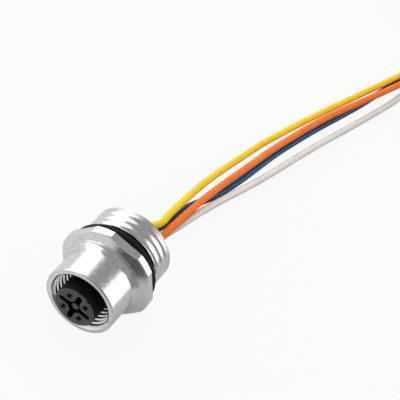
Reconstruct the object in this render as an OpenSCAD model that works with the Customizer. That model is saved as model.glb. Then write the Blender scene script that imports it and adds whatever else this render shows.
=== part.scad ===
// M12 panel socket with loose leads.
// Female, four contacts, fastened from the front: a turned and plated brass
// housing, a moulded contact insert, an O-ring behind the hexagon, and four
// leads that leave through the resin at the rear.
// Millimetres. The socket lies on one flat of its hexagon and its axis runs
// along Y, with the mating side towards -Y. The origin is on that surface,
// midway between the face of the insert and the rear end of the housing.

/* [Housing] */
// Outer diameter of the smooth front sleeve
sleeve_d = 14; // [13.6:0.1:14.8]
// Length from the front rim to the ring where the fillet ends
sleeve_l = 7.5; // [6.5:0.1:10]
// Bevel on the outer edge of the rim
rim_bevel = 0.2; // [0.1:0.05:0.4]
// Radius of the fillet between sleeve and flange
fillet_r = 2; // [1:0.1:3]
// Diameter of the ring where the fillet ends
ring_d = 15.4; // [15.2:0.1:16]
// Length of the flange, from that ring to its rear face
flange_l = 2.5; // [2:0.1:4]
// Width of the hexagon across its flats
hex_af = 18; // [17.8:0.1:18.6]
// Diameter over the rounded corners of the hexagon
hex_d = 19; // [18.8:0.1:20]
// Slope of the front of the hexagon, in degrees
hex_slope = 28; // [15:1:35]

/* [Rear thread] */
// Nominal diameter of the rear thread
rear_d = 16; // [15.8:0.1:16.4]
// Length from the flange to the rear end
rear_l = 8; // [6.8:0.1:12]
// Diameter of the groove that holds the O-ring
groove_d = 13.8; // [13.6:0.1:14.2]
// Width of that groove
groove_w = 2.2; // [2.1:0.1:2.8]
// Bevel at the rear end of the thread
rear_bevel = 0.3; // [0.1:0.1:0.6]

/* [Bores] */
// Bore over the crests of the front thread
mate_d = 10.9; // [10.6:0.1:11.2]
// Diameter of the bevel at the mouth
mouth_d = 12.3; // [12:0.1:12.6]
// Depth of the threaded bore from the rim
mate_l = 8.6; // [7.8:0.1:9]
// Thickness of the web that the insert seats on
web_l = 1; // [0.6:0.1:1.4]
// Hole in the web
web_d = 8.9; // [8.8:0.1:9.4]
// Bore of the rear chamber
chamber_d = 12.2; // [11.8:0.1:12.4]

/* [O-ring] */
// Thickness of the O-ring's section
oring_t = 2; // [1.8:0.1:2]
// How far its section is pressed flat against flange and groove
oring_press = 0.05; // [0.02:0.01:0.12]

/* [Insert] */
// Diameter of the insert where it stands in the bore
insert_d = 8.1; // [8:0.1:8.4]
// How far the face stands out in front of the rim
insert_out = 1.6; // [0.4:0.1:2]
// Bevel round the face
insert_bevel = 0.15; // [0.05:0.05:0.25]
// Diameter of the shoulder behind the web
collar_d = 9.8; // [9.6:0.1:11]
// Thickness of the shoulder behind the web
collar_l = 1.8; // [1.4:0.1:2.4]
// Turn of the contact pattern about the axis, in degrees
insert_turn = -2.5; // [-45:0.5:45]
// Diameter of the circle that the contacts stand on
contact_circle = 5; // [4.8:0.1:5.2]
// Diameter of the tube round each contact
boss_d = 2.5; // [2.3:0.05:2.6]
// Diameter of each socket hole in the face
hole_d = 1.24; // [1.1:0.02:1.3]
// Length over two opposite arms of the cross recess
cross_l = 6.6; // [6:0.1:6.8]
// Width of each arm
cross_w = 1.04; // [0.8:0.02:1.1]
// Depth of the cross recess
cross_depth = 2.4; // [1:0.1:4]
// Diameter of the post in the middle of the recess
post_d = 1.5; // [1.2:0.05:1.6]
// How far the post stays below the face
post_low = 0.3; // [0:0.1:1]
// Width of the coding groove along the side
key_w = 0.6; // [0.4:0.05:1]
// Depth of the coding groove
key_depth = 0.3; // [0.2:0.05:0.4]
// Length of the coding groove, from the face
key_l = 6; // [3:0.5:8]
// Place of the coding groove round the insert, in degrees
key_at = 20; // [-30:1:30]

/* [Contacts] */
// Outer diameter of a contact
contact_d = 1.5; // [1.4:0.05:1.6]
// Bore for the mating pin
pin_d = 1; // [0.9:0.05:1.1]
// Depth of that bore
pin_l = 6.5; // [5:0.5:8]
// How far the contact stays below the face
contact_low = 0.25; // [0.1:0.05:0.6]
// Width of the slots between the tines
tine_gap = 0.2; // [0.15:0.05:0.3]
// Length of the slots
tine_l = 4.5; // [3:0.5:6]
// Diameter of the retaining ring
stop_d = 2.2; // [2:0.1:2.4]
// Length of the retaining ring
stop_l = 0.8; // [0.5:0.1:1]
// Length of the solder cup behind the holder
cup_l = 2; // [1.5:0.1:2.4]
// Bore of the solder cup
cup_bore = 0.9; // [0.8:0.05:1]
// Depth of the solder cup
cup_depth = 2.1; // [1.5:0.1:3]
// Thickness of the disc that holds the contacts
holder_l = 1.8; // [1.2:0.1:2]

/* [Leads] */
// Outer diameter of each lead
lead_d = 1.45; // [1.35:0.01:1.5]
// Diameter of the bare strands
strand_d = 0.76; // [0.6:0.02:0.8]
// Bare length between the cup and the insulation
bare_gap = 0.4; // [0.2:0.1:0.8]
// How far the resin stays below the rear end
resin_low = 0.7; // [0.3:0.1:1.2]
// Bare length at the free ends
bare_end = 5; // [3:0.5:8]

/* [Coil] */
// Radius to the middle of the coil's section
coil_r = 10; // [10:0.5:14]
// Thickness of the two bands round the coil
band_t = 0.5; // [0.3:0.1:0.8]
// Width of those bands
band_w = 2.5; // [1.5:0.5:4]
// Places of the two bands round the coil, in degrees
band_at = [20, 200];
// Straight run of the leads into the coil
lead_in = 12; // [8:1:16]

/* [Hidden] */
$fn = 64;
slip = 0.05;

// Stations along the axis, counted from the front rim towards the rear.
z_face = -insert_out;
z_ring = sleeve_l;
z_back = z_ring + flange_l;
z_groove = z_back + groove_w;
z_end = z_back + rear_l;
z_web = mate_l + web_l;
z_collar = z_web + collar_l;
z_holder = z_collar + holder_l;
z_tip = z_face + contact_low;
z_cup = z_holder + cup_l;
z_lead = z_cup + bare_gap;
z_resin = z_end - resin_low;

axis_h = hex_af / 2;
axis_y = -(z_face + z_end) / 2;
groove_r = groove_d / 2;
chamber_r = chamber_d / 2;
oring_r = groove_r + oring_t / 2 - oring_press;
oring_z = z_back + oring_t / 2 - oring_press;
// The fillet's centre, from the sleeve, the ring and its own radius.
fillet_x = sleeve_d / 2 + fillet_r;
fillet_z = z_ring - sqrt(pow(fillet_r, 2) - pow(fillet_x - ring_d / 2, 2));
hex_rise = (hex_d - ring_d) / 2 * tan(hex_slope);
thread_rise = (rear_d / 2 - groove_r) * tan(30);

// Place of each contact seen from the front, clockwise from the top left.
function contact_angle(i) = insert_turn - 45 + 90 * i;
function contact_x(i) = contact_circle / 2 * sin(contact_angle(i));
function contact_up(i) = contact_circle / 2 * cos(contact_angle(i));

// Turned shapes are drawn along Z from the rim and laid down along Y here.
module lay() { translate([0, axis_y, axis_h]) rotate([-90, 0, 0]) children(); }
module at_contact(i) { translate([contact_x(i), -contact_up(i), 0]) children(); }
module rod(d, z0, z1) { translate([0, 0, z0]) cylinder(d = d, h = z1 - z0); }
module cone(d0, d1, z0, z1) { translate([0, 0, z0]) cylinder(d1 = d0, d2 = d1, h = z1 - z0); }

// ---- Housing: one turned piece

module sleeve_form() {
    rotate_extrude() {
        polygon([[0, 0], [sleeve_d / 2 - rim_bevel, 0], [sleeve_d / 2, rim_bevel],
                 [sleeve_d / 2, z_ring], [0, z_ring]]);
        difference() {
            translate([0, fillet_z]) square([ring_d / 2, z_ring - fillet_z]);
            translate([fillet_x, fillet_z]) circle(r = fillet_r);
        }
    }
}

module flange_form() {
    intersection() {
        rotate_extrude()
            polygon([[0, z_ring], [ring_d / 2, z_ring], [hex_d / 2, z_ring + hex_rise],
                     [hex_d / 2, z_back], [0, z_back]]);
        translate([0, 0, z_ring]) cylinder(d = hex_af / cos(30), h = flange_l, $fn = 6);
    }
}

module rear_form() {
    rotate_extrude()
        polygon([[0, z_back], [groove_r, z_back], [groove_r, z_groove],
                 [rear_d / 2, z_groove + thread_rise], [rear_d / 2, z_end - rear_bevel],
                 [rear_d / 2 - rear_bevel, z_end], [0, z_end]]);
}

module housing_bore() {
    rotate_extrude()
        polygon([[0, 0], [mouth_d / 2, 0], [mate_d / 2, (mouth_d - mate_d) / 2],
                 [mate_d / 2, mate_l], [web_d / 2, mate_l], [web_d / 2, z_web],
                 [chamber_r, z_web], [chamber_r, z_end], [0, z_end]]);
}

module housing() {
    color("silver") lay() difference() {
        union() {
            sleeve_form();
            flange_form();
            rear_form();
        }
        housing_bore();
    }
}

module flange_o_ring() {
    color("#1c1c1e") lay() rotate_extrude() intersection() {
        translate([oring_r, oring_z]) circle(d = oring_t);
        translate([groove_r, z_back]) square(2 * oring_t);
    }
}

// ---- Contact insert

// The cross recess: four arms and the room between the tubes round the
// contacts, which the post stands in.
module cross_outline() {
    for (a = [0, 90]) rotate(a) {
        square([cross_l - cross_w, cross_w], center = true);
        for (s = [-1, 1]) translate([s * (cross_l - cross_w) / 2, 0]) circle(d = cross_w);
    }
    difference() {
        circle(d = contact_circle * cos(45));
        for (i = [0:3]) rotate(45 + 90 * i) translate([contact_circle / 2, 0]) circle(d = boss_d);
    }
}

module contact_insert() {
    color("#2a2a2c") lay() difference() {
        union() {
            cone(insert_d - 2 * insert_bevel, insert_d, z_face, z_face + insert_bevel);
            rod(insert_d, z_face + insert_bevel, mate_l);
            rod(web_d - 2 * slip, mate_l, z_web);
            rod(collar_d, z_web, z_collar);
        }
        rotate(insert_turn) difference() {
            translate([0, 0, z_face - 1]) linear_extrude(1 + cross_depth) cross_outline();
            rod(post_d, z_face + post_low, z_face + cross_depth);
        }
        for (i = [0:3]) at_contact(i) {
            rod(hole_d, z_face - 1, z_tip);
            rod(contact_d + 2 * slip, z_tip, z_collar);
            rod(stop_d + 2 * slip, z_collar - stop_l, z_collar);
        }
        rotate(key_at - 90) translate([insert_d / 2 - key_depth, -key_w / 2, z_face - 1])
            cube([key_depth + 1, key_w, key_l + 1]);
    }
}

// The disc behind the insert that keeps the contacts in.
module contact_holder() {
    color("#3a3a3d") lay() difference() {
        rod(chamber_d - 2 * slip, z_collar, z_holder);
        for (i = [0:3]) at_contact(i) rod(contact_d + 2 * slip, z_collar, z_holder);
    }
}

// ---- Contacts: slotted tube, retaining ring and solder cup in one

module socket_contact(i) {
    color("#c9a24a") lay() at_contact(i) difference() {
        union() {
            rod(contact_d, z_tip, z_cup);
            rod(stop_d, z_collar - stop_l, z_collar);
        }
        rod(pin_d, z_tip - 1, z_tip + pin_l);
        cone(contact_d - 0.1, pin_d, z_tip, z_tip + (contact_d - pin_d) / 4);
        for (a = [0, 90]) rotate(a)
            translate([-contact_d, -tine_gap / 2, z_tip - 1])
                cube([2 * contact_d, tine_gap, tine_l + 1]);
        rod(cup_bore, z_cup - cup_depth, z_cup + 1);
    }
}

// Tinned strands, soldered into the cup and bare up to the insulation.
module strands(i) {
    color("#b9b9b4") lay() at_contact(i) {
        rod(cup_bore, z_cup - cup_depth, z_cup);
        rod(strand_d, z_cup, z_lead);
    }
}

module resin() {
    color("#26282b") lay() difference() {
        rod(chamber_d, z_holder, z_resin);
        for (i = [0:3]) at_contact(i) {
            rod(contact_d, z_holder, z_cup);
            rod(strand_d, z_cup, z_lead);
            // Eight flats, as the leads' own tubes have.
            rotate(22.5) translate([0, 0, z_lead])
                cylinder(d = lead_d, h = z_resin - z_lead, $fn = 8);
        }
    }
}

// ---- Leads

// A tube of eight sides through the given points, one ring at each.
function heading(p, i) =
    let (d = p[min(i + 1, len(p) - 1)] - p[max(i - 1, 0)]) d / norm(d);
function ring_at(p, i, r) =
    let (d = heading(p, i), s = cross(d, [0, 0, 1]) / norm(cross(d, [0, 0, 1])), u = cross(s, d))
    [for (k = [0:7]) p[i] + r * (cos(45 * k + 22.5) * s + sin(45 * k + 22.5) * u)];
module tube(p, d) {
    n = len(p);
    polyhedron(
        [for (i = [0:n - 1]) each ring_at(p, i, d / 2)],
        [[for (k = [7:-1:0]) k],
         for (i = [0:n - 2]) for (k = [0:7])
            [8 * i + k, 8 * i + (k + 1) % 8, 8 * i + 8 + (k + 1) % 8, 8 * i + 8 + k],
         [for (k = [0:7]) 8 * (n - 1) + k]]);
}

// Where the four leads leave the resin.
function exit_at(i) = [contact_x(i), axis_y + z_resin, axis_h + contact_up(i)];

// Routes behind the exit, chosen by hand: 0 yellow, 1 blue, 2 orange, 3 white.
routes = [
    [[-1.7, 11, 10.7], [-0.2, 13.6, 10.5], [1.3, 16.5, 10.1], [1.5, 20.8, 9.6], [2.3, 33.7, 7.5],
     [4.3, 48.3, 4.9], [5.8, 57, 3.8], [7.8, 65.8, 3], [10, 74.3, 2.5], [17.7, 100.2, 2.1]],
    [[1.6, 10.9, 10.2], [1.2, 13.6, 8.7], [1.6, 16.6, 8], [2.1, 20, 7.8], [3.1, 27.6, 6.4],
     [5.2, 34.4, 5.2], [10.1, 63.6, 1.2], [12.1, 72.7, 0.8], [17, 91.4, 0.8], [20.4, 107, 0.8]],
    [[2.2, 10.8, 7.6], [3.2, 13.6, 8.7], [3.3, 16.4, 9.2], [3.6, 21.1, 9], [4.2, 28.4, 8.1],
     [7, 49.9, 4.6], [8.2, 57.7, 3.6], [9.9, 66.3, 2.9], [11.8, 74.6, 2.5], [21, 104, 2.4]],
    [[-1.4, 10.8, 6.9], [0.5, 13.8, 6.2], [2.8, 17.2, 6.4], [4.1, 21.2, 7], [5, 25.8, 6.7],
     [10.8, 51, 2.9], [15, 70.4, 1.1], [19.8, 88.6, 0.8], [22.9, 101.7, 0.8], [24.2, 111, 1]]];

// The coil lies on its bands, three bundles wide and two high. The leads come
// in at its lower outer corner, make five turns and leave from its upper one.
lead_pitch = 1.5;
coil_w = 6 * lead_pitch;
coil_h = 4 * lead_pitch;
coil_turn = -17;
coil_in = [31.5, 142.5, 0];
outer_r = coil_r + 2 * lead_pitch;
coil_mid = coil_in - outer_r * [cos(coil_turn), sin(coil_turn), 0];
leave_at = 100;
// Each lead's place in the bundle of four: how far outward, how far up.
bundle = [[-1, 1], [-1, -1], [1, 1], [1, -1]] * lead_pitch / 2;
module at_coil() { translate(coil_mid) rotate([0, 0, coil_turn]) children(); }
// A point at radius r, height h and distance t past the radial at angle a.
function coil_point(a, r, h, t) =
    let (b = a + coil_turn)
    coil_mid + [r * cos(b) - t * sin(b), r * sin(b) + t * cos(b), h];
function coil_in_point(i, t) =
    coil_point(0, outer_r + bundle[i][0], band_t + lead_pitch + bundle[i][1], t);
// The free ends: straight off the coil until clear of it, then down and
// apart. Each step is a distance run, a shift outward and a height.
lie = lead_d / 2 + 0.02;
falls = [[[17, -2.2, 2.3], [22.5, -3.8, lie]],
         [[15.5, -0.5, 1.2], [22.5, -1.3, lie]],
         [[17, 2.2, 2.3], [22.5, 3.8, lie]],
         [[15.5, 0.5, 1.2], [22.5, 1.3, lie]]];
function tail_points(i) =
    let (r = outer_r + bundle[i][0], h = band_t + 3 * lead_pitch + bundle[i][1])
    [for (t = [0, 9.9 + bundle[i][1] * 1.2]) coil_point(leave_at, r, h, t),
     for (f = falls[i]) coil_point(leave_at, r + f[1], f[2], f[0])];

module lead(i, c) {
    color(c) tube([exit_at(i) - [0, z_resin - z_lead, 0], exit_at(i) + [0, 0.8, 0],
                   each routes[i], coil_in_point(i, -lead_in), coil_in_point(i, 0)], lead_d);
}
module lead_tail(i, c) { color(c) tube(tail_points(i), lead_d); }
module lead_strands(i) {
    p = tail_points(i);
    tip = p[len(p) - 1];
    d = heading(p, len(p) - 1);
    color("#b9b9b4") tube([tip, tip + bare_end * [d[0], d[1], 0] / norm([d[0], d[1]])], strand_d);
}

module coil_section(grow) {
    c = 0.75;
    w = coil_w + 2 * grow;
    h = coil_h + 2 * grow;
    translate([coil_r, band_t + coil_h / 2]) {
        square([w - 2 * c, h], center = true);
        square([w, h - 2 * c], center = true);
        for (x = [-1, 1], y = [-1, 1]) translate([x * (w / 2 - c), y * (h / 2 - c)]) circle(r = c);
    }
}

// The outer shape of the coiled leads, with the two corners left open where
// the four leads come in and go out.
module lead_coil() {
    color("#d9d2c8") at_coil() difference() {
        rotate_extrude() coil_section(0);
        translate([outer_r - lead_pitch - slip, -coil_w * 2, -1])
            cube([coil_w, coil_w * 2, 1 + band_t + 2 * lead_pitch + slip]);
        rotate([0, 0, leave_at]) translate([outer_r - lead_pitch - slip, 0, band_t + 2 * lead_pitch - slip])
            cube([coil_w, coil_w * 2, coil_h]);
    }
}

// A band round the section of the coil, with its small lock outside.
module coil_band(at) {
    turn = band_w / coil_r * 180 / PI;
    color("#202022") at_coil() rotate([0, 0, at]) {
        rotate([0, 0, -turn / 2]) rotate_extrude(angle = turn) difference() {
            coil_section(band_t);
            coil_section(0);
        }
        translate([coil_r + coil_w / 2 + band_t - 0.1, -band_w / 2, coil_h / 2 - 1])
            cube([2.1, band_w, 3]);
    }
}

module lead_yellow() { lead(0, "#f2d40f"); }
module lead_blue() { lead(1, "#1b6fa8"); }
module lead_orange() { lead(2, "#f47a14"); }
module lead_white() { lead(3, "#e6dcd4"); }

housing();
flange_o_ring();
contact_insert();
contact_holder();
resin();
socket_contact(0);  // socket_contact_1
socket_contact(3);  // socket_contact_2
socket_contact(2);  // socket_contact_3
socket_contact(1);  // socket_contact_4
strands(0);  // strands_1
strands(3);  // strands_2
strands(2);  // strands_3
strands(1);  // strands_4
lead_yellow();
lead_blue();
lead_orange();
lead_white();
lead_coil();
coil_band(band_at[0]);  // coil_band_1
coil_band(band_at[1]);  // coil_band_2
lead_tail(0, "#f2d40f");  // tail_yellow
lead_tail(1, "#1b6fa8");  // tail_blue
lead_tail(2, "#f47a14");  // tail_orange
lead_tail(3, "#e6dcd4");  // tail_white
lead_strands(0);  // bare_end_yellow
lead_strands(1);  // bare_end_blue
lead_strands(2);  // bare_end_orange
lead_strands(3);  // bare_end_white
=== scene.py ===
# Panel receptacle with four leads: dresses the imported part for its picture.
# Lengths in the settings dictionaries are in millimetres, angles in degrees.
import math

import bmesh
import bpy
from mathutils import Matrix, Vector


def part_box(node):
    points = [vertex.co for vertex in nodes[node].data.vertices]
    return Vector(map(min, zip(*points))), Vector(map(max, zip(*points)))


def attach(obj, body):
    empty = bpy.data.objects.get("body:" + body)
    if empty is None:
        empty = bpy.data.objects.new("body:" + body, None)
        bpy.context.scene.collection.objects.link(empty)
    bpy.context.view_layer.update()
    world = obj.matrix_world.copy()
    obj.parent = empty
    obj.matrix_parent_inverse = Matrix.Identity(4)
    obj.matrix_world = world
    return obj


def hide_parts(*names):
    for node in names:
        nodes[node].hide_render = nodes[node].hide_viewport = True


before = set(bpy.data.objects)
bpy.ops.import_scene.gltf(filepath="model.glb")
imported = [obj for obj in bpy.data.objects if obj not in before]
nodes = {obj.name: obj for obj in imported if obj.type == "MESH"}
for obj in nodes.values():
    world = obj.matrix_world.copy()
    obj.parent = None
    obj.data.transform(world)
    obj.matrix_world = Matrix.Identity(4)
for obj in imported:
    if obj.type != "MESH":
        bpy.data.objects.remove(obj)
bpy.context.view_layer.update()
mm = 0.001

# The housing lies along Y with its rim at the lowest Y, so its box gives the axis.
housingLow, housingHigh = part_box("housing")
rimY = housingLow.y
axisZ = (housingLow.z + housingHigh.z) / 2
print("frame loaded, rim at", round(rimY / mm, 2), "mm, axis at", round(axisZ / mm, 2), "mm")


cameraSettings = {
    "place": (9.756, -141.177, 195.157),
    "right": (0.762416, 0.489552, 0.423155),
    "down": (0.646684, -0.553349, -0.524982),
    "lens": 117.0,
    "sensor": 36.0,
}


def placeCamera(settings):
    data = bpy.data.cameras.new("productCamera")
    data.lens = settings["lens"]
    data.sensor_width = settings["sensor"]
    data.clip_start = 0.005
    data.clip_end = 20
    camera = bpy.data.objects.new("productCamera", data)
    bpy.context.scene.collection.objects.link(camera)
    right = Vector(settings["right"]).normalized()
    up = -Vector(settings["down"]).normalized()
    back = right.cross(up)
    turned = Matrix((right, up, back)).transposed().to_4x4()
    camera.matrix_world = Matrix.Translation(Vector(settings["place"]) * mm) @ turned
    bpy.context.scene.camera = camera


placeCamera(cameraSettings)
print("camera placed")


def seenFromFront(radius, station, turn):
    # turn runs clockwise from the top, seen from the mating side
    return Vector((radius * mm * math.sin(turn), rimY + station * mm, axisZ + radius * mm * math.cos(turn)))


def newObject(name, data):
    piece = bpy.data.objects.new(name, data)
    bpy.context.scene.collection.objects.link(piece)
    return piece


def closeLoops(build, first, second):
    count = len(first)
    for k in range(count):
        corners = (first[k], first[(k + 1) % count], second[(k + 1) % count], second[k])
        build.faces.new(corners)


def finishMesh(name, build, sharpAngle=30.0, merge=0.0002):
    # closes a bmesh into an object: welded, normals outward, smooth with sharp edges kept
    bmesh.ops.remove_doubles(build, verts=build.verts, dist=merge * mm)
    bmesh.ops.recalc_face_normals(build, faces=build.faces)
    mesh = bpy.data.meshes.new(name)
    build.to_mesh(mesh)
    build.free()
    mesh.shade_smooth()
    mesh.set_sharp_from_angle(angle=math.radians(sharpAngle))
    return newObject(name, mesh)


leadSettings = {
    "diameter": 1.45,
    "coilPitch": 1.5,          # spacing of the leads in the coil
    "contactCircle": 5.0,
    "contactTurn": -2.5,
    "leadStart": 15.6,         # stations along the axis
    "resinFace": 17.3,
    "bareLength": 5.0,
    "strandBundle": 0.76,
    "straightOut": 0.8,        # straight past the resin
    "freeSteps": 10,           # steps between points of the route, and of the free end
    "tailSteps": 8,
}
leadNames = ["yellow", "blue", "orange", "white"]
leadRoutes = {
    "yellow": [(-1.7, 11, 10.7), (-0.2, 13.6, 10.5), (1.3, 16.5, 10.1), (1.5, 20.8, 9.6), (2.3, 33.7, 7.5),
               (4.3, 48.3, 4.9), (5.8, 57, 3.8), (7.8, 65.8, 3), (10, 74.3, 2.5), (17.7, 100.2, 2.1)],
    "blue": [(1.6, 10.9, 10.2), (1.2, 13.6, 8.7), (1.6, 16.6, 8), (2.1, 20, 7.8), (3.1, 27.6, 6.4),
             (5.2, 34.4, 5.2), (10.1, 63.6, 1.2), (12.1, 72.7, 0.8), (17, 91.4, 0.8), (20.4, 107, 0.8)],
    "orange": [(2.2, 10.8, 7.6), (3.2, 13.6, 8.7), (3.3, 16.4, 9.2), (3.6, 21.1, 9), (4.2, 28.4, 8.1),
               (7, 49.9, 4.6), (8.2, 57.7, 3.6), (9.9, 66.3, 2.9), (11.8, 74.6, 2.5), (21, 104, 2.4)],
    "white": [(-1.4, 10.8, 6.9), (0.5, 13.8, 6.2), (2.8, 17.2, 6.4), (4.1, 21.2, 7), (5, 25.8, 6.7),
              (10.8, 51, 2.9), (15, 70.4, 1.1), (19.8, 88.6, 0.8), (22.9, 101.7, 0.8), (24.2, 111, 1)],
}
coilSettings = {
    "radius": 10.0,
    "bandThickness": 0.5,
    "turn": -17.0,
    "entry": (31.5, 142.5),
    "leaveAt": 100.0,
    "turns": 5,
    # each lead's place in the bundle of four: outward, up
    "bundle": {
        "yellow": (-0.75, 0.75),
        "blue": (-0.75, -0.75),
        "orange": (0.75, 0.75),
        "white": (0.75, -0.75),
    },
    # from one turn to the next: degrees travelled where the move starts and ends,
    # bundles moved outward, bundles moved up
    "moves": [(295, 358, -1, 0), (624, 680, -1, 0), (917, 982, 0, 1), (1215, 1275, 1, 0), (1543, 1600, 1, 0)],
    # past the coil: distance run, shift outward, height
    "falls": {
        "yellow": [(17, -2.2, 2.3), (22.5, -3.8, 0.745)],
        "blue": [(15.5, -0.5, 1.2), (22.5, -1.3, 0.745)],
        "orange": [(17, 2.2, 2.3), (22.5, 3.8, 0.745)],
        "white": [(15.5, 0.5, 1.2), (22.5, 1.3, 0.745)],
    },
    "runIn": 12.0,             # straight before the coil
    "runOut": (9.9, 1.2),      # straight past it, and what a lead's height in the bundle adds
    "stepAngle": 5,
}
outerTurn = coilSettings["radius"] + 2 * leadSettings["coilPitch"]
lowTurn = coilSettings["bandThickness"] + leadSettings["coilPitch"]


def coilPoint(angle, radius, height, past):
    # a point at an angle round the coil, and a distance past it along the tangent
    turn = math.radians(coilSettings["turn"])
    midX = coilSettings["entry"][0] - outerTurn * math.cos(turn)
    midY = coilSettings["entry"][1] - outerTurn * math.sin(turn)
    at = math.radians(angle) + turn
    return Vector((midX + radius * math.cos(at) - past * math.sin(at),
                   midY + radius * math.sin(at) + past * math.cos(at), height))


def ease(value):
    value = min(max(value, 0.0), 1.0)
    return value * value * (3 - 2 * value)


def bundleCentre(travelled):
    # three bundles wide and two high; each turn moves on where the next has already left its place
    radius, height = outerTurn, lowTurn
    for start, end, outward, up in coilSettings["moves"]:
        share = 2 * leadSettings["coilPitch"] * ease((travelled - start) / (end - start))
        radius += outward * share
        height += up * share
    return radius, height


def smoothThrough(points, steps):
    # a curve through every point, its tangents weighed by the gaps on both sides
    gaps = [(b - a).length for a, b in zip(points, points[1:])]
    tangents = []
    for index in range(len(points)):
        if index == 0:
            tangents.append((points[1] - points[0]) / gaps[0])
        elif index == len(points) - 1:
            tangents.append((points[-1] - points[-2]) / gaps[-1])
        else:
            before, after = gaps[index - 1], gaps[index]
            slopeBefore = (points[index] - points[index - 1]) / before
            slopeAfter = (points[index + 1] - points[index]) / after
            tangents.append((slopeBefore * after + slopeAfter * before) / (before + after))
    line = []
    for index, gap in enumerate(gaps):
        a, b = points[index], points[index + 1]
        ta, tb = tangents[index] * gap, tangents[index + 1] * gap
        for step in range(steps):
            t = step / steps
            line.append(a * (2 * t ** 3 - 3 * t ** 2 + 1) + ta * (t ** 3 - 2 * t ** 2 + t)
                        + b * (3 * t ** 2 - 2 * t ** 3) + tb * (t ** 3 - t ** 2))
    line.append(points[-1].copy())
    return line


def contactAngle(index):
    return math.radians(leadSettings["contactTurn"] - 45 + 90 * index)


def atContact(index, station):
    return seenFromFront(leadSettings["contactCircle"] / 2, station, contactAngle(index))


def leadLine(index):
    name = leadNames[index]
    outward, up = coilSettings["bundle"][name]
    outer = outerTurn + outward
    start = atContact(index, leadSettings["leadStart"]) / mm
    leave = atContact(index, leadSettings["resinFace"]) / mm
    free = [start, leave, leave + Vector((0, leadSettings["straightOut"], 0))]
    free += [Vector(point) for point in leadRoutes[name]]
    free += [coilPoint(0, outer, lowTurn + up, past) for past in (-coilSettings["runIn"], 0)]
    line = smoothThrough(free, leadSettings["freeSteps"])[:-1]
    travel = 360 * coilSettings["turns"] + coilSettings["leaveAt"]
    for travelled in range(0, int(travel) + 1, coilSettings["stepAngle"]):
        radius, height = bundleCentre(travelled)
        line.append(coilPoint(travelled, radius + outward, height + up, 0))
    high = lowTurn + 2 * leadSettings["coilPitch"] + up
    run, added = coilSettings["runOut"]
    away = [coilPoint(coilSettings["leaveAt"], outer, high, past) for past in (0, run + added * up)]
    away += [coilPoint(coilSettings["leaveAt"], outer + shift, height, past)
             for past, shift, height in coilSettings["falls"][name]]
    line += smoothThrough(away, leadSettings["tailSteps"])[1:]
    return [point * mm for point in line]


def makeLead(index):
    name = "lead" + leadNames[index].capitalize()
    line = leadLine(index)
    curve = bpy.data.curves.new(name, "CURVE")
    curve.dimensions = "3D"
    curve.bevel_depth = leadSettings["diameter"] / 2   # times each point's radius, a thousandth
    curve.bevel_resolution = 5
    curve.use_fill_caps = True
    spline = curve.splines.new("POLY")
    spline.points.add(len(line) - 1)
    for point, place in zip(spline.points, line):
        point.co = (*place, 1)
        point.radius = mm
    spline.use_smooth = True
    piece = newObject(name, curve)
    length = sum((b - a).length for a, b in zip(line, line[1:]))
    return piece, line, length


def makeBareEnd(index, line):
    # seven twisted strands past the end of the insulation
    name = "bareEnd" + leadNames[index].capitalize()
    tip = line[-1]
    along = line[-1] - line[-3]
    along.z = 0
    along.normalize()
    side = along.cross(Vector((0, 0, 1))).normalized()
    up = side.cross(along)
    strand = leadSettings["strandBundle"] / 6 * mm
    length = leadSettings["bareLength"] * mm
    build = bmesh.new()
    for which in range(7):
        rings = []
        for step in range(-2, 25):
            ahead = length * step / 24 * (1 - 0.012 * which)
            twist = math.radians(60 * which + 26 * step)
            spread = 0 if which == 0 else 2 * strand
            middle = tip + along * ahead + (side * math.cos(twist) + up * math.sin(twist)) * spread
            corners = [k * math.pi / 4 for k in range(8)]
            rings.append([build.verts.new(middle + (side * math.cos(a) + up * math.sin(a)) * strand)
                          for a in corners])
        for first, second in zip(rings, rings[1:]):
            closeLoops(build, first, second)
        build.faces.new(rings[0])
        build.faces.new(rings[-1])
    return finishMesh(name, build, 40)


leads = []
bareEnds = []
for index in range(4):
    lead, line, length = makeLead(index)
    bare = makeBareEnd(index, line)
    colour = leadNames[index]
    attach(lead, "root")
    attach(bare, "root")
    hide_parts("lead_" + colour, "tail_" + colour)
    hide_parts("bare_end_" + colour)
    leads.append(lead)
    bareEnds.append(bare)
    print("lead", colour, round(length / mm), "mm")
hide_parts("lead_coil")


def newGroup(name, inputs, outputs):
    group = bpy.data.node_groups.new(name, "ShaderNodeTree")
    for label, kind, value in inputs:
        socket = group.interface.new_socket(label, in_out="INPUT", socket_type=kind)
        socket.default_value = value
    for label, kind in outputs:
        group.interface.new_socket(label, in_out="OUTPUT", socket_type=kind)
    return group, group.nodes.new("NodeGroupInput"), group.nodes.new("NodeGroupOutput")


def plug(tree, socket, value):
    # a number or colour goes on the socket itself, and another node's output is linked to it
    if isinstance(value, bpy.types.NodeSocket):
        tree.links.new(value, socket)
    else:
        socket.default_value = (*value, 1) if isinstance(value, tuple) else value


def addMath(tree, operation, *values):
    node = tree.nodes.new("ShaderNodeMath")
    node.operation = operation
    for socket, value in zip(node.inputs, values):
        plug(tree, socket, value)
    return node.outputs[0]


def addNoise(tree, place, scale, detail, rough):
    node = tree.nodes.new("ShaderNodeTexNoise")
    for label, value in (("Vector", place), ("Scale", scale), ("Detail", detail), ("Roughness", rough)):
        plug(tree, node.inputs[label], value)
    return node.outputs["Fac"]


def addRange(tree, value, low, high, newLow, newHigh):
    node = tree.nodes.new("ShaderNodeMapRange")
    plug(tree, node.inputs["Value"], value)
    for label, number in (("From Min", low), ("From Max", high), ("To Min", newLow), ("To Max", newHigh)):
        plug(tree, node.inputs[label], number)
    return node.outputs["Result"]


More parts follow.
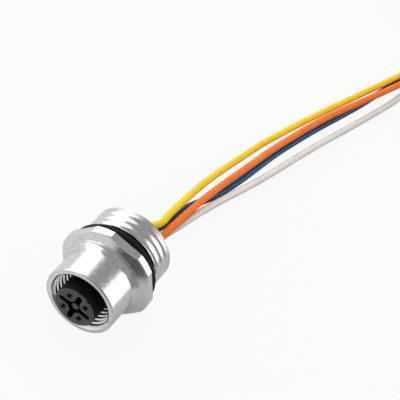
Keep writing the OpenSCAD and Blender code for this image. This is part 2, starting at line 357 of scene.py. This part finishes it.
def addMix(tree, mask, first, second):
    # a number or a colour between two others
    mix = tree.nodes.new("ShaderNodeMix")
    mix.data_type = "RGBA" if isinstance(second, tuple) else "FLOAT"
    plugs = [socket for socket in mix.inputs if socket.enabled]
    for socket, value in zip(plugs, (mask, first, second)):
        plug(tree, socket, value)
    return [socket for socket in mix.outputs if socket.enabled][0]


# most of a noise's values lie in this range
noiseSpan = (0.35, 0.65)


def makeGrainGroup():
    # fine grain with a slower cloud over it: a height, a cloud mask and a roughness
    group, given, result = newGroup(
        "surfaceGrain",
        [("Grain Size", "NodeSocketFloat", 0.1), ("Cloud Size", "NodeSocketFloat", 2.0),
         ("Roughness Low", "NodeSocketFloat", 0.2), ("Roughness High", "NodeSocketFloat", 0.4)],
        [("Height", "NodeSocketFloat"), ("Cloud", "NodeSocketFloat"), ("Roughness", "NodeSocketFloat")])
    place = group.nodes.new("ShaderNodeTexCoord").outputs["Object"]
    fineScale = addMath(group, "DIVIDE", 1 / mm, given.outputs["Grain Size"])
    cloudScale = addMath(group, "DIVIDE", 1 / mm, given.outputs["Cloud Size"])
    fine = addNoise(group, place, fineScale, 3.0, 0.6)
    cloud = addNoise(group, place, cloudScale, 2.0, 0.5)
    both = addMath(group, "ADD", addMath(group, "MULTIPLY", fine, 0.6),
                   addMath(group, "MULTIPLY", cloud, 0.4))
    rough = addRange(group, both, *noiseSpan, given.outputs["Roughness Low"], given.outputs["Roughness High"])
    group.links.new(fine, result.inputs["Height"])
    group.links.new(cloud, result.inputs["Cloud"])
    group.links.new(rough, result.inputs["Roughness"])
    return group


def makeTurningGroup():
    # rings that the lathe leaves round the axis, both along the barrel and across the faces
    group, given, result = newGroup(
        "turningMarks",
        [("Spacing", "NodeSocketFloat", 0.12), ("Break Up", "NodeSocketFloat", 0.5)],
        [("Height", "NodeSocketFloat"), ("Radius", "NodeSocketFloat"), ("Station", "NodeSocketFloat")])
    place = group.nodes.new("ShaderNodeTexCoord").outputs["Object"]
    split = group.nodes.new("ShaderNodeSeparateXYZ")
    group.links.new(place, split.inputs[0])
    up = addMath(group, "SUBTRACT", split.outputs["Z"], axisZ)
    squares = [addMath(group, "MULTIPLY", side, side) for side in (split.outputs["X"], up)]
    radius = addMath(group, "SQRT", addMath(group, "ADD", *squares))
    reach = addMath(group, "ADD", radius, split.outputs["Y"])
    scaled = addMath(group, "DIVIDE", reach, addMath(group, "MULTIPLY", given.outputs["Spacing"], mm))
    rings = group.nodes.new("ShaderNodeTexNoise")
    rings.noise_dimensions = "1D"
    rings.inputs["Scale"].default_value = 1.0
    rings.inputs["Detail"].default_value = 2.0
    group.links.new(scaled, rings.inputs["W"])
    patchy = addNoise(group, place, 350.0, 2.0, 0.5)
    faintest = addMath(group, "SUBTRACT", 1.0, given.outputs["Break Up"])
    weight = addRange(group, patchy, *noiseSpan, faintest, 1.0)
    group.links.new(addMath(group, "MULTIPLY", rings.outputs["Fac"], weight), result.inputs["Height"])
    # radius and station in millimetres, for finishes that change with place
    group.links.new(addMath(group, "DIVIDE", radius, mm), result.inputs["Radius"])
    along = addMath(group, "SUBTRACT", split.outputs["Y"], rimY)
    group.links.new(addMath(group, "DIVIDE", along, mm), result.inputs["Station"])
    return group


grainGroup = makeGrainGroup()
turningGroup = makeTurningGroup()


def newMaterial(name):
    material = bpy.data.materials.new(name)
    material.use_nodes = True
    tree = material.node_tree
    shader = tree.nodes["Principled BSDF"]
    return material, tree, shader


def addGroup(tree, group, **values):
    node = tree.nodes.new("ShaderNodeGroup")
    node.node_tree = group
    for label, value in values.items():
        node.inputs[label.replace("_", " ")].default_value = value
    return node


def addBump(tree, shader, height, distance, before=None):
    node = tree.nodes.new("ShaderNodeBump")
    node.inputs["Distance"].default_value = distance * mm
    node.inputs["Strength"].default_value = 1.0
    tree.links.new(height, node.inputs["Height"])
    if before is not None:
        tree.links.new(before, node.inputs["Normal"])
    tree.links.new(node.outputs["Normal"], shader.inputs["Normal"])
    return node.outputs["Normal"]


nickelFinish = {
    "dark": (0.67, 0.665, 0.66),
    "light": (0.78, 0.775, 0.77),
    "roughness": (0.16, 0.26),
    "grainSize": 0.16,
    "cloudSize": 0.6,
    "grainDepth": 0.0042,
    "ringSpacing": 0.22,
    "ringDepth": 0.0022,
    "ringBreakUp": 0.6,
    "band": (0.60, 0.575, 0.55),
    "bandRoughness": 0.40,
    "bandStart": 16.75,
    "bandEdge": 0.25,
    "bore": (0.93, 0.925, 0.92),
    "boreRadius": (6.3, 6.4),       # the bore's lighter tint, a painted highlight on the inner thread crests, ends between these radii
    "rimStation": (0.30, 0.42),     # and its painted shade in the thread roots starts between these stations
    # painted shade: the colour of the thread roots and of everything deep in the bore
    "root": (0.02, 0.02, 0.02),
    "rootShadeRadius": (5.68, 5.80),
    "deepShadeStation": (5.0, 6.5),
    "outerStation": (12.2, 12.5),
    "outerRadius": (7.4, 7.5),
    # painted shade in the roots of the rear thread
    "outerRootShadeRadius": (7.84, 7.72),
    "outerRootShadeShare": 0.8,
    "outerRootShade": (0.40, 0.395, 0.385),
}


def makeNickel(name, finish):
    material, tree, shader = newMaterial(name)
    grain = addGroup(tree, grainGroup, Grain_Size=finish["grainSize"], Cloud_Size=finish["cloudSize"],
                     Roughness_Low=finish["roughness"][0], Roughness_High=finish["roughness"][1])
    rings = addGroup(tree, turningGroup, Spacing=finish["ringSpacing"],
                     Break_Up=finish["ringBreakUp"])
    shader.inputs["Metallic"].default_value = 1.0
    cloud = addRange(tree, grain.outputs["Cloud"], *noiseSpan, 0.0, 1.0)
    tint = addMix(tree, cloud, finish["dark"], finish["light"])
    rough = grain.outputs["Roughness"]
    place = rings.outputs["Radius"]
    along = rings.outputs["Station"]
    # the last turns run into a band with a duller finish
    start = finish["bandStart"]
    band = addRange(tree, along, start, start + finish["bandEdge"], 0.0, 1.0)
    tint = addMix(tree, band, tint, finish["band"])
    rough = addMix(tree, band, rough, finish["bandRoughness"])
    # inside the bore the roots of the thread and everything deep in it get painted shade, a dark tint
    inside = addRange(tree, place, *finish["boreRadius"], 1.0, 0.0)
    root = addMath(tree, "MAXIMUM", addRange(tree, place, *finish["rootShadeRadius"], 0.0, 1.0),
                   addRange(tree, along, *finish["deepShadeStation"], 0.0, 1.0))
    past = addRange(tree, along, *finish["rimStation"], 0.0, 1.0)
    root = addMath(tree, "MULTIPLY", addMath(tree, "MULTIPLY", root, inside), past)
    # painted highlight: the bore gets a lighter tint so that its thread crests shine brighter
    tint = addMix(tree, inside, tint, finish["bore"])
    tint = addMix(tree, root, tint, finish["root"])
    # painted shade keeps the roots of the rear thread a little darker
    low = addMath(tree, "MULTIPLY", addRange(tree, place, *finish["outerRootShadeRadius"], 0.0, finish["outerRootShadeShare"]),
                  addRange(tree, along, *finish["outerStation"], 0.0, 1.0))
    low = addMath(tree, "MULTIPLY", low, addRange(tree, place, *finish["outerRadius"], 0.0, 1.0))
    tint = addMix(tree, low, tint, finish["outerRootShade"])
    tree.links.new(tint, shader.inputs["Base Color"])
    tree.links.new(rough, shader.inputs["Roughness"])
    first = addBump(tree, shader, rings.outputs["Height"], finish["ringDepth"])
    addBump(tree, shader, grain.outputs["Height"], finish["grainDepth"], before=first)
    return material


def makeFinish(name, dark, light, roughness, grain, cloud, depth, metallic=0.0, specular=0.5):
    # one plain surface with its own grain, cloud and bump
    material, tree, shader = newMaterial(name)
    marks = addGroup(tree, grainGroup, Grain_Size=grain, Cloud_Size=cloud,
                     Roughness_Low=roughness[0], Roughness_High=roughness[1])
    shader.inputs["Metallic"].default_value = metallic
    shader.inputs["Specular IOR Level"].default_value = specular
    tint = addMix(tree, addRange(tree, marks.outputs["Cloud"], *noiseSpan, 0.0, 1.0), dark, light)
    tree.links.new(tint, shader.inputs["Base Color"])
    tree.links.new(marks.outputs["Roughness"], shader.inputs["Roughness"])
    addBump(tree, shader, marks.outputs["Height"], depth)
    return material


nickel = makeNickel("platedNickel", nickelFinish)
plainFinishes = {
    "sealRubber": {
        "dark": (0.004, 0.004, 0.0045), "light": (0.008, 0.008, 0.0085), "roughness": (0.50, 0.66),
        "grain": 0.12, "cloud": 1.6, "depth": 0.006, "specular": 0.12},
    # the insert's face: its black nylon, lightened as painted light
    "insertFaceLitNylon": {
        "dark": (0.052, 0.052, 0.053), "light": (0.075, 0.075, 0.076), "roughness": (0.36, 0.5),
        "grain": 0.10, "cloud": 1.2, "depth": 0.004},
    # the insert's sides and recess: the same black nylon, darkened as painted shade
    "insertSideShadedNylon": {
        "dark": (0.003, 0.003, 0.003), "light": (0.006, 0.006, 0.006), "roughness": (0.50, 0.62),
        "grain": 0.10, "cloud": 1.2, "depth": 0.004, "specular": 0.15},
    "holderNylon": {
        "dark": (0.03, 0.03, 0.032), "light": (0.045, 0.045, 0.047), "roughness": (0.4, 0.6),
        "grain": 0.1, "cloud": 1.5, "depth": 0.005},
    # gilt contacts darkened far below gold, a painted shade deep in the socket holes
    "giltContactPaintedShade": {
        "dark": (0.13, 0.11, 0.08), "light": (0.20, 0.175, 0.13), "roughness": (0.20, 0.32),
        "grain": 0.08, "cloud": 0.8, "depth": 0.002, "metallic": 1.0},
    "tinnedCopper": {
        "dark": (0.62, 0.61, 0.59), "light": (0.76, 0.75, 0.72), "roughness": (0.25, 0.4),
        "grain": 0.08, "cloud": 0.8, "depth": 0.003, "metallic": 1.0},
    "castResin": {
        "dark": (0.010, 0.010, 0.011), "light": (0.018, 0.018, 0.020), "roughness": (0.08, 0.2),
        "grain": 0.5, "cloud": 3.0, "depth": 0.01},
    "bandNylon": {
        "dark": (0.012, 0.012, 0.013), "light": (0.022, 0.022, 0.023), "roughness": (0.35, 0.5),
        "grain": 0.15, "cloud": 1.5, "depth": 0.005},
}
finishes = {name: makeFinish(name, **values) for name, values in plainFinishes.items()}

leadColours = {
    "yellow": ((0.84, 0.55, 0.002), (0.93, 0.62, 0.004)),
    "blue": ((0.003, 0.075, 0.20), (0.006, 0.105, 0.27)),
    "orange": ((0.86, 0.155, 0.003), (0.94, 0.19, 0.005)),
    "white": ((0.77, 0.71, 0.655), (0.84, 0.785, 0.735)),
}
leadFinish = {"roughness": (0.38, 0.48), "grain": 0.9, "cloud": 6.0, "depth": 0.002, "specular": 0.25}
for colour, lead in zip(leadNames, leads):
    plastic = makeFinish("lead" + colour.capitalize() + "Plastic", *leadColours[colour], **leadFinish)
    lead.data.materials.append(plastic)
for bare in bareEnds:
    bare.data.materials.append(finishes["tinnedCopper"])
print("materials made")


# The housing is one turned piece with both threads cut.
housingSettings = {
    "columns": 192,
    "sleeveRadius": 7.0,
    "rimBevel": 0.2,
    "mouthRadius": 6.15,
    "boreRadius": 5.45,
    "boreDepth": 8.6,
    "webRadius": 4.45,
    "webEnd": 9.6,
    "chamberRadius": 6.1,
    "filletRadius": 2.0,
    "filletStation": 5.98,
    "ringRadius": 7.7,
    "ringStation": 7.5,
    "beadWidth": 0.13,
    "slope": 28.0,
    "hexHalf": 9.0,
    "cornerRadius": 9.5,
    "backStation": 10.0,
    "edgeRound": 0.14,
    "grooveRadius": 6.9,
    "grooveEnd": 12.2,
    "rearRadius": 8.0,
    "rearBevel": 0.3,
    "endStation": 18.0,
}
# a thread's form is a list of places within the pitch and shares of the depth
innerThread = {"pitch": 1.0, "depth": 0.54, "turns": (0.0, 7.4), "fade": 0.6,
               "form": [(0.0, 0.0), (0.10, 0.0), (0.14, 0.06), (0.44, 0.92),
                        (0.50, 1.0), (0.60, 1.0), (0.66, 0.92), (0.96, 0.06)]}
outerCrest = 0.38   # flat share of the pitch; the rest is a rounded groove
outerThread = {"pitch": 1.5, "depth": 0.19, "turns": (11.0, 16.8), "fade": 0.5,
               "form": [(0.0, 0.0), (outerCrest, 0.0)]
                       + [(outerCrest + (1 - outerCrest) * k / 12, 0.5 - 0.5 * math.cos(2 * math.pi * k / 12))
                          for k in range(1, 12)]}


def addTurned(build, loops, columns):
    # each loop is (radius, station), or functions of the turn that give them
    rings = []
    for radius, station in loops:
        ring = []
        for column in range(columns):
            turn = 2 * math.pi * column / columns
            ring.append(build.verts.new(seenFromFront(radius(turn) if callable(radius) else radius,
                                                      station(turn) if callable(station) else station, turn)))
        rings.append(ring)
    for first, second in zip(rings, rings[1:]):
        closeLoops(build, first, second)
    return rings


def addThread(build, thread, startAt, endAt, bareRadius, outward, columns, bounds):
    # rows run along the helix, so the crests stay crisp; past the ends they fold onto the end rings
    pitch, form = thread["pitch"], thread["form"]
    low, high = thread["turns"]
    firstTurn = math.floor(startAt / pitch) - 2
    lastTurn = math.ceil(endAt / pitch) + 1
    rows = []
    for turnCount in range(firstTurn, lastTurn + 1):
        for phase, share in form:
            row = []
            for column in range(columns + 1):
                station = pitch * (turnCount + phase + column / columns)
                placed = min(max(station, startAt), endAt)
                fade = ease((placed - low) / thread["fade"] + 1) * ease((high - placed) / thread["fade"] + 1)
                radius = bareRadius + outward * thread["depth"] * share * fade
                radius = bounds(radius, placed)
                row.append((seenFromFront(radius, placed, 2 * math.pi * column / columns), placed))
            rows.append(row)
    for first, second in zip(rows, rows[1:]):
        for column in range(columns):
            corners = [first[column], first[column + 1], second[column + 1], second[column]]
            stations = [station for place, station in corners]
            if max(stations) <= startAt or min(stations) >= endAt:
                continue
            places = []
            for place, station in corners:
                if all((place - other).length > 1e-8 for other in places):
                    places.append(place)
            if len(places) > 2:
                build.faces.new([build.verts.new(place) for place in places])


def makeHousing(s):
    columns = s["columns"]
    tilt = math.tan(math.radians(s["slope"]))

    def flangeRadius(turn):
        fromFlat = (math.degrees(turn) + 30) % 60 - 30
        return min(s["cornerRadius"], s["hexHalf"] / math.cos(math.radians(fromFlat)))

    def slopeStation(radius):
        return s["ringStation"] + (radius - s["ringRadius"]) * tilt

    soft = s["edgeRound"]
    build = bmesh.new()

    def mouth(radius, station):
        return max(radius, s["mouthRadius"] - station)

    addThread(build, innerThread, 0.0, s["boreDepth"], s["boreRadius"], 1, columns, mouth)
    addTurned(build, [
        (s["boreRadius"], s["boreDepth"]), (s["webRadius"], s["boreDepth"]), (s["webRadius"], s["webEnd"]),
        (s["chamberRadius"], s["webEnd"]), (s["chamberRadius"], s["endStation"] - 0.15),
        (s["chamberRadius"] + 0.15, s["endStation"]), (s["rearRadius"] - s["rearBevel"], s["endStation"]),
        (s["rearRadius"], s["endStation"] - s["rearBevel"])], columns)

    def runIn(radius, station):
        return min(radius, s["grooveRadius"] + (station - s["grooveEnd"]) / math.tan(math.radians(30)))

    addThread(build, outerThread, s["grooveEnd"], s["endStation"] - s["rearBevel"], s["rearRadius"], -1,
              columns, runIn)
    fillet = []
    centre = s["sleeveRadius"] + s["filletRadius"]
    last = math.acos((centre - s["ringRadius"]) / s["filletRadius"])
    for step in range(11):
        swing = last * step / 10
        fillet.append((centre - s["filletRadius"] * math.cos(swing),
                       s["filletStation"] + s["filletRadius"] * math.sin(swing)))
    bead = s["beadWidth"]
    beadLoops = [(s["ringRadius"] + bead * 1.1, slopeStation(s["ringRadius"] + bead * 1.1) + 0.02),
                 (s["ringRadius"] + bead * 0.7, s["ringStation"] - bead * 0.45),
                 (s["ringRadius"] + bead * 0.1, s["ringStation"] - bead * 0.95),
                 (s["ringRadius"] - bead * 0.6, s["ringStation"] - bead * 1.05)]
    outside = [
        (s["grooveRadius"], s["grooveEnd"]), (s["grooveRadius"], s["backStation"]),
        (lambda turn: flangeRadius(turn) - soft, s["backStation"]),
        (flangeRadius, s["backStation"] - soft),
        (flangeRadius, lambda turn: slopeStation(flangeRadius(turn)) + soft),
        (lambda turn: flangeRadius(turn) - soft * 0.3,
         lambda turn: slopeStation(flangeRadius(turn)) + soft * 0.3),
        (lambda turn: flangeRadius(turn) - soft, lambda turn: slopeStation(flangeRadius(turn) - soft)),
        (s["ringRadius"] + 0.9, slopeStation(s["ringRadius"] + 0.9)),
    ] + beadLoops + list(reversed(fillet[:-1])) + [
        (s["sleeveRadius"], s["rimBevel"]), (s["sleeveRadius"] - s["rimBevel"] * 0.35, s["rimBevel"] * 0.3),
        (s["sleeveRadius"] - s["rimBevel"], 0.0), (s["mouthRadius"], 0.0)]
    addTurned(build, outside, columns)
    piece = finishMesh("turnedHousing", build, 17)
    piece.data.materials.append(nickel)
    return piece


housing = makeHousing(housingSettings)
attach(housing, "root")
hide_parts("housing")
print("housing turned,", len(housing.data.polygons), "faces")


sealSettings = {"ringRadius": 7.85, "station": 10.95, "section": 1.0, "columns": 128, "steps": 36}


def makeSeal(s):
    build = bmesh.new()
    loops = []
    for step in range(s["steps"] + 1):
        swing = 2 * math.pi * step / s["steps"]
        radius = s["ringRadius"] + s["section"] * math.cos(swing)
        station = s["station"] + s["section"] * math.sin(swing)
        loops.append((max(radius, housingSettings["grooveRadius"]),
                      max(station, housingSettings["backStation"])))
    addTurned(build, loops, s["columns"])
    piece = finishMesh("sealRing", build, 50)
    piece.data.materials.append(finishes["sealRubber"])
    return piece


seal = makeSeal(sealSettings)
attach(seal, "root")
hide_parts("flange_o_ring")
print("seal ring made")


insertSettings = {
    "radius": 4.05,
    "face": -1.6,
    "edge": 0.11,
    "recessDepth": 2.4,
    "armLength": 6.6,
    "armWidth": 1.04,
    "bossRadius": 1.25,
    "holeRadius": 0.62,
    "postRadius": 0.75,
    "postLow": 0.3,
    "keyWidth": 0.6,
    "keyDepth": 0.3,
    "keyEnd": 4.4,
    "keyAngle": 20.0,
    "webPart": (4.4, 8.6, 9.6),
    "collar": (4.9, 11.4),
}


def circleOutline(x, y, radius, count=40):
    return [(x + radius * math.cos(2 * math.pi * k / count), y + radius * math.sin(2 * math.pi * k / count))
            for k in range(count)]


def rimOutline(s):
    # the insert's edge with its coding notch
    half = math.degrees(s["keyWidth"] / 2 / s["radius"])
    points = []
    for k in range(144):
        angle = 2.5 * k
        away = (angle - s["keyAngle"] + 180) % 360 - 180
        if abs(away) > half:
            points.append((s["radius"], angle))
        elif not points or points[-1][0] == s["radius"]:
            bottom = s["radius"] - s["keyDepth"]
            points += [(s["radius"], s["keyAngle"] - half), (bottom, s["keyAngle"] - half * 0.9),
                       (bottom, s["keyAngle"] + half * 0.9), (s["radius"], s["keyAngle"] + half)]
    return [(radius * math.sin(math.radians(a)), radius * math.cos(math.radians(a))) for radius, a in points]


def crossOutline(s):
    # four arms between the bosses, round-ended, with the bosses' own arcs at the middle
    half = s["armWidth"] / 2
    boss = leadSettings["contactCircle"] / 2 * math.cos(math.radians(45))
    bossArc = [(boss - s["bossRadius"] * math.sin(math.radians(90 * a / 12)),
                boss - s["bossRadius"] * math.cos(math.radians(90 * a / 12))) for a in range(0, 13)]
    tip = s["armLength"] / 2 - half
    arm = [(tip + half * math.sin(math.radians(a)), -half * math.cos(math.radians(a)))
           for a in range(0, 181, 15)]
    points = []
    for count in range(4):
        around = math.radians(90 * count - leadSettings["contactTurn"])
        for x, y in arm + bossArc:
            points.append((x * math.cos(around) - y * math.sin(around),
                           x * math.sin(around) + y * math.cos(around)))
    return points


def addPlate(name, outlines, front, back, edge):
    # a flat plate with holes and rounded edges, its face towards the mating side
    curve = bpy.data.curves.new(name, "CURVE")
    curve.dimensions = "2D"
    curve.fill_mode = "BOTH"
    curve.extrude = ((back - front) / 2 - edge) * mm
    curve.bevel_depth = edge * mm
    curve.bevel_resolution = 3
    curve.offset = -edge * mm
    for outline in outlines:
        spline = curve.splines.new("POLY")
        spline.points.add(len(outline) - 1)
        spline.use_cyclic_u = True
        for point, (x, y) in zip(spline.points, outline):
            point.co = (x * mm, y * mm, 0, 1)
    holder = newObject(name + "Curve", curve)
    bpy.context.view_layer.update()
    mesh = bpy.data.meshes.new_from_object(holder.evaluated_get(bpy.context.evaluated_depsgraph_get()))
    bpy.data.objects.remove(holder)
    middle = Vector((0, rimY + (front + back) / 2 * mm, axisZ))
    upright = Matrix(((1, 0, 0, 0), (0, 0, -1, 0), (0, 1, 0, 0), (0, 0, 0, 1)))
    mesh.transform(Matrix.Translation(middle) @ upright)
    return mesh


def makeInsert(s):
    build = bmesh.new()
    holes = []
    for index in range(4):
        angle = contactAngle(index)
        reach = leadSettings["contactCircle"] / 2
        holes.append(circleOutline(reach * math.sin(angle), reach * math.cos(angle), s["holeRadius"]))
    floorStation = s["face"] + s["recessDepth"]
    build.from_mesh(addPlate("insertFace", [rimOutline(s), crossOutline(s)] + holes, s["face"], floorStation,
                             s["edge"]))
    build.from_mesh(addPlate("insertNeck", [rimOutline(s)] + holes, floorStation - 0.01, s["keyEnd"], 0.01))
    webRadius, webStart, webEnd = s["webPart"]
    collarRadius, collarEnd = s["collar"]
    addTurned(build, [(0.001, s["keyEnd"] - 0.02), (s["radius"], s["keyEnd"] - 0.02), (s["radius"], webStart),
                      (webRadius, webStart), (webRadius, webEnd), (collarRadius, webEnd),
                      (collarRadius, collarEnd), (0.001, collarEnd)], 96)
    # the post in the middle of the recess, a little domed
    rise = s["face"] + s["postLow"]
    post = s["postRadius"]
    addTurned(build, [(0.001, floorStation + 0.05), (post, floorStation + 0.05), (post, rise + 0.16),
                      (post - 0.05, rise + 0.06), (post - 0.17, rise + 0.01), (post * 0.45, rise - 0.03),
                      (0.001, rise - 0.04)], 40)
    piece = finishMesh("contactInsert", build, 32)
    piece.data.materials.append(finishes["insertFaceLitNylon"])
    piece.data.materials.append(finishes["insertSideShadedNylon"])
    # the face and its edges get the lighter nylon, a painted light; the sides and the recess get the darker
    # and rougher copy, a painted shade
    frontY = rimY + (s["face"] + s["edge"]) * mm
    for face in piece.data.polygons:
        paintedLitFace = face.center.y < frontY or (face.normal.y < -0.9 and face.center.y < rimY)
        face.material_index = 0 if paintedLitFace else 1
    return piece


insert = makeInsert(insertSettings)
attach(insert, "root")
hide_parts("contact_insert")
print("insert made")


def dress(nodeName, material):
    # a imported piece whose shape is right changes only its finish
    data = nodes[nodeName].data
    data.materials.clear()
    data.materials.append(material)


for number in range(1, 5):
    dress("socket_contact_%d" % number, finishes["giltContactPaintedShade"])
    dress("strands_%d" % number, finishes["tinnedCopper"])
dress("contact_holder", finishes["holderNylon"])
dress("coil_band_1", finishes["bandNylon"])
dress("coil_band_2", finishes["bandNylon"])
print("plain pieces dressed")

resinSettings = {"radius": 6.09, "climb": 0.22, "reach": 0.2, "rings": 36}


def makeResin(s):
    # the cast face creeps up the wall and up each lead
    startStation = (Vector(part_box("resin")[0]).y - rimY) / mm
    centres = [(leadSettings["contactCircle"] / 2 * math.sin(contactAngle(index)),
                leadSettings["contactCircle"] / 2 * math.cos(contactAngle(index))) for index in range(4)]

    def faceStation(radius):
        def station(turn):
            x, y = radius * math.sin(turn), radius * math.cos(turn)
            gaps = [math.hypot(x - midX, y - midY) - leadSettings["diameter"] / 2 for midX, midY in centres]
            gaps.append(s["radius"] - radius)
            climb = max(math.exp(-max(gap, 0) / s["reach"]) for gap in gaps)
            return leadSettings["resinFace"] + s["climb"] * climb
        return station

    build = bmesh.new()
    loops = [(0.001, startStation), (s["radius"], startStation)]
    loops += [(radius, faceStation(radius)) for radius in
              [s["radius"] * (1 - k / s["rings"]) + 0.001 for k in range(s["rings"] + 1)]]
    addTurned(build, loops, 120)
    piece = finishMesh("castResin", build, 50)
    piece.data.materials.append(finishes["castResin"])
    return piece


resin = makeResin(resinSettings)
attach(resin, "root")
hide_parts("resin")

print("resin cast")


floorSettings = {
    "left": -3000.0,
    "right": 3000.0,
    "front": -55.0,
    "back": 3000.0,
    "white": 0.62,
    "below": 0.02,
    # share of plain white in what each kind of ray sees
    "glow": {"camera": 0.90, "glossy": 0.5, "transmission": 0.90},
    # the share in reflections fades out between these places across, a painted shade that the metal mirrors on
    # the right of the object
    "glossyShadeFade": (-12.0, 14.0),
}
studioSettings = {
    "ceiling": 0.37,
    # soft-edged areas round the object: azimuth from +Y towards +X and its half width,
    # elevation from and to, width of the edge, level
    "areas": {
        "backWall": (0.0, 30.0, -90.0, 30.0, 12.0, 0.5),
        "leftWall": (-72.0, 50.0, -90.0, 42.0, 8.0, 2.0),
        "leftFront": (-150.0, 28.0, -90.0, 24.0, 10.0, 0.80),
        "rightWall": (42.0, 20.0, -90.0, 42.0, 8.0, 2.0),
        "rightSide": (108.0, 44.0, -90.0, 30.0, 12.0, 0.30),
        "rightFront": (166.0, 23.0, -90.0, 30.0, 6.0, 0.10),
    },
}
lampSettings = {"place": (-150.0, 60.0, 620.0), "size": 420.0, "power": 1.7}


def addFloor(s):
    build = bmesh.new()
    corners = ((s["left"], s["front"]), (s["right"], s["front"]),
               (s["right"], s["back"]), (s["left"], s["back"]))
    build.faces.new([build.verts.new((x * mm, y * mm, -s["below"] * mm)) for x, y in corners])
    floor = finishMesh("floor", build)
    material, tree, shader = newMaterial("floorPaper")
    shader.inputs["Base Color"].default_value = (s["white"],) * 3 + (1,)
    shader.inputs["Roughness"].default_value = 0.9
    glow = tree.nodes.new("ShaderNodeEmission")
    ray = tree.nodes.new("ShaderNodeLightPath")
    share = None
    for kind, amount in s["glow"].items():
        part = addMath(tree, "MULTIPLY", ray.outputs["Is " + kind.capitalize() + " Ray"], amount)
        if kind == "glossy":
            split = tree.nodes.new("ShaderNodeSeparateXYZ")
            tree.links.new(tree.nodes.new("ShaderNodeTexCoord").outputs["Object"], split.inputs[0])
            # painted shade: reflections see less of the floor's glow towards the right
            first, last = s["glossyShadeFade"]
            fade = addRange(tree, split.outputs["X"], first * mm, last * mm, 1.0, 0.0)
            part = addMath(tree, "MULTIPLY", part, fade)
        share = part if share is None else addMath(tree, "MAXIMUM", share, part)
    mix = tree.nodes.new("ShaderNodeMixShader")
    tree.links.new(share, mix.inputs["Fac"])
    tree.links.new(shader.outputs["BSDF"], mix.inputs[1])
    tree.links.new(glow.outputs["Emission"], mix.inputs[2])
    tree.links.new(mix.outputs["Shader"], tree.nodes["Material Output"].inputs["Surface"])
    floor.data.materials.append(material)


def addSurroundings(s):
    # a grey ceiling, white walls left and right, and a dark room on the right in front
    world = bpy.data.worlds.new("studio")
    world.use_nodes = True
    bpy.context.scene.world = world
    tree = world.node_tree
    background = tree.nodes["Background"]
    split = tree.nodes.new("ShaderNodeSeparateXYZ")
    tree.links.new(tree.nodes.new("ShaderNodeTexCoord").outputs["Generated"], split.inputs[0])
    azimuth = addMath(tree, "DEGREES", addMath(tree, "ARCTAN2", split.outputs["X"], split.outputs["Y"]))
    elevation = addMath(tree, "DEGREES", addMath(tree, "ARCSINE", split.outputs["Z"]))
    level = s["ceiling"]
    for middle, half, low, high, edge, white in s["areas"].values():
        away = addMath(tree, "WRAP", addMath(tree, "SUBTRACT", azimuth, middle), 180.0, -180.0)
        away = addMath(tree, "ABSOLUTE", away)
        across = addRange(tree, away, half - edge / 2, half + edge / 2, 1.0, 0.0)
        below = addRange(tree, elevation, high - edge / 2, high + edge / 2, 1.0, 0.0)
        mask = addMath(tree, "MULTIPLY", across, below)
        if low > -90.0:
            above = addRange(tree, elevation, low - edge / 2, low + edge / 2, 0.0, 1.0)
            mask = addMath(tree, "MULTIPLY", mask, above)
        level = addMix(tree, mask, level, white)
    ray = tree.nodes.new("ShaderNodeLightPath")
    clear = addMath(tree, "MAXIMUM", ray.outputs["Is Camera Ray"], ray.outputs["Is Transmission Ray"])
    tree.links.new(addMix(tree, clear, level, 1.0), background.inputs["Strength"])
    background.inputs["Color"].default_value = (1, 1, 1, 1)


def addLamp(s):
    # soft light from above for the plain colours; metal mirrors only the surroundings
    data = bpy.data.lights.new("topLamp", "AREA")
    data.size = s["size"] * mm
    data.energy = s["power"]
    lamp = newObject("topLamp", data)
    lamp.location = Vector(s["place"]) * mm
    lamp.rotation_euler = (Vector(s["place"])).to_track_quat("Z", "Y").to_euler()
    lamp.visible_glossy = False


addFloor(floorSettings)
addSurroundings(studioSettings)
addLamp(lampSettings)
scene = bpy.context.scene
scene.view_settings.view_transform = "Standard"
print("floor and light set")
